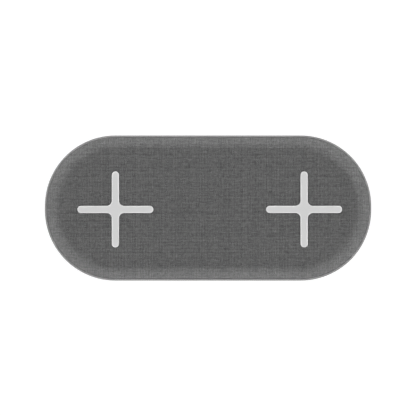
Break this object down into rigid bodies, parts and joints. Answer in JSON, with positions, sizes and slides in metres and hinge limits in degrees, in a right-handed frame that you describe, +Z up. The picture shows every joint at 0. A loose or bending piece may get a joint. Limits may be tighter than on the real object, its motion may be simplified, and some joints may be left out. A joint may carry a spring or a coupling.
{
  "type": "wireless charging pad",
  "caption": "Flat rounded-rectangle wireless charging pad with a woven fabric top, plus-shaped marks for placing phones side by side, and a rear power inlet.",
  "frame": {"origin": "on the surface the pad stands on, under the middle of its outline", "axes": "+X along the pad to the right as the user sees it, +Y to the rear, where the power inlet is, +Z up"},
  "size_m": [0.2, 0.0888, 0.0142],
  "materials": {
    "woven_fabric": "dark grey plain-weave polyester, melange",
    "mark_silicone": "light grey matte silicone",
    "trim_plastic": "satin mid grey",
    "shell_plastic": "moulded grey ABS",
    "base_plastic": "fine moulded texture, mid grey",
    "foot_rubber": "matte silicone rubber",
    "label_film": "blank printed film",
    "screw_steel": "zinc plated",
    "litz_copper": null,
    "adhesive_tape": "double-sided tissue tape",
    "ferrite_plate": "sintered ferrite, matte",
    "carrier_plastic": "natural white moulding",
    "lead_enamel": "tinned and sleeved leads",
    "bead_epoxy": "black epoxy coated",
    "sensor_wire": "thin insulated wire, red",
    "board_laminate": "solder-masked glass epoxy",
    "connector_steel": "nickel plated shell",
    "connector_plastic": "black insulator",
    "chip_epoxy": "black moulding compound",
    "capacitor_ceramic": "ceramic with tinned ends",
    "capacitor_case": "moulded tantalum case",
    "inductor_core": "pressed powder core",
    "crystal_can": "welded can",
    "led_package": "white side-view package",
    "light_pipe_acrylic": "clear acrylic, frosted end",
    "spreader_aluminium": "plain sheet",
    "thermal_silicone": "soft gap filler"
  },
  "bodies": {
    "root": {"fabric_cover": "woven_fabric", "cross_mark_left": "mark_silicone", "cross_mark_right": "mark_silicone", "trim_ring": "trim_plastic", "top_shell": "shell_plastic", "base_shell": "base_plastic", "foot_strip_front": "foot_rubber", "foot_strip_rear": "foot_rubber", "rating_label": "label_film", "housing_screws": "screw_steel", "coil_left": "litz_copper", "coil_right": "litz_copper", "coil_tape_left": "adhesive_tape", "coil_tape_right": "adhesive_tape", "ferrite_left": "ferrite_plate", "ferrite_right": "ferrite_plate", "coil_carrier_left": "carrier_plastic", "coil_carrier_right": "carrier_plastic", "carrier_screws": "screw_steel", "coil_leads_left": "lead_enamel", "coil_leads_right": "lead_enamel", "thermistor_left": "bead_epoxy", "thermistor_right": "bead_epoxy", "sensor_leads_left": "sensor_wire", "sensor_leads_right": "sensor_wire", "main_board": "board_laminate", "board_screws": "screw_steel", "usb_c_shell": "connector_steel", "usb_c_tongue": "connector_plastic", "charge_controller_left": "chip_epoxy", "charge_controller_right": "chip_epoxy", "input_controller": "chip_epoxy", "bridge_transistors_left": "chip_epoxy", "bridge_transistors_right": "chip_epoxy", "resonant_capacitors_left": "capacitor_ceramic", "resonant_capacitors_right": "capacitor_ceramic", "power_inductor_left": "inductor_core", "power_inductor_right": "inductor_core", "bulk_capacitors": "capacitor_case", "board_crystal": "crystal_can", "small_passives": "capacitor_ceramic", "status_led_left": "led_package", "status_led_right": "led_package", "light_pipe_left": "light_pipe_acrylic", "light_pipe_right": "light_pipe_acrylic", "heat_spreader": "spreader_aluminium", "thermal_pad": "thermal_silicone"}
  },
  "joints": []
}
